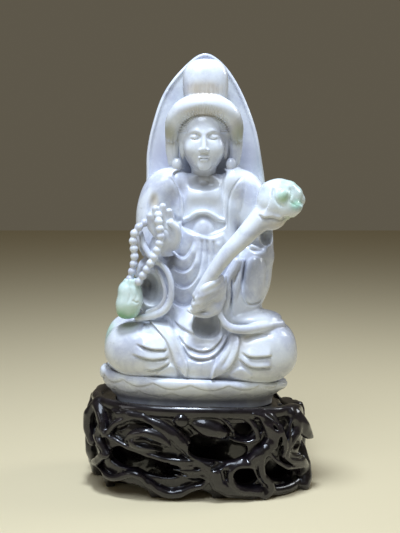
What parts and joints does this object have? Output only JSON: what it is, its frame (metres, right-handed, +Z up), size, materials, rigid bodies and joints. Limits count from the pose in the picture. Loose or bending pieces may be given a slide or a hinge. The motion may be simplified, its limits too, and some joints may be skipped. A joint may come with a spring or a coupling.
{
  "type": "carved stone figurine on a wooden stand",
  "caption": "Seated robed figure carved in pale jade before a pointed leaf-shaped backing, dropped into the oval seat of a black carved root-wood stand.",
  "frame": {"origin": "middle of the stand's footprint, on the surface that it stands on", "axes": "+Z up, the figure faces -Y, +X is to the right as the front is seen"},
  "size_m": [0.1555, 0.092, 0.29],
  "materials": {
    "jade": "polished",
    "green_jade": "polished",
    "black_wood": "glossy lacquer"
  },
  "bodies": {
    "stand": {"stand_tray": "black_wood", "stand_core": "black_wood", "root_left_end": "black_wood", "root_front_left": "black_wood", "root_front_centre": "black_wood", "root_front_right": "black_wood", "root_right_front": "black_wood", "root_right_end": "black_wood", "root_back_right": "black_wood", "root_back_centre": "black_wood", "root_back_left": "black_wood"},
    "carving": {"lotus_plinth": "jade", "backing_leaf": "jade", "crossed_legs": "jade", "torso": "jade", "head": "jade", "hair_roll": "jade", "topknot": "jade", "right_sleeve": "jade", "left_sleeve": "jade", "right_hand": "jade", "left_hand": "jade", "pouch": "green_jade", "bead_strand_inner": "jade", "bead_strand_outer": "jade", "scepter_stem": "jade", "lotus_bud": "green_jade"}
  },
  "joints": [
    {"name": "carving_lift", "type": "slide", "parent": "stand", "child": "carving", "axis": [0, 0, 1], "range_m": [0, 0.04]}
  ]
}
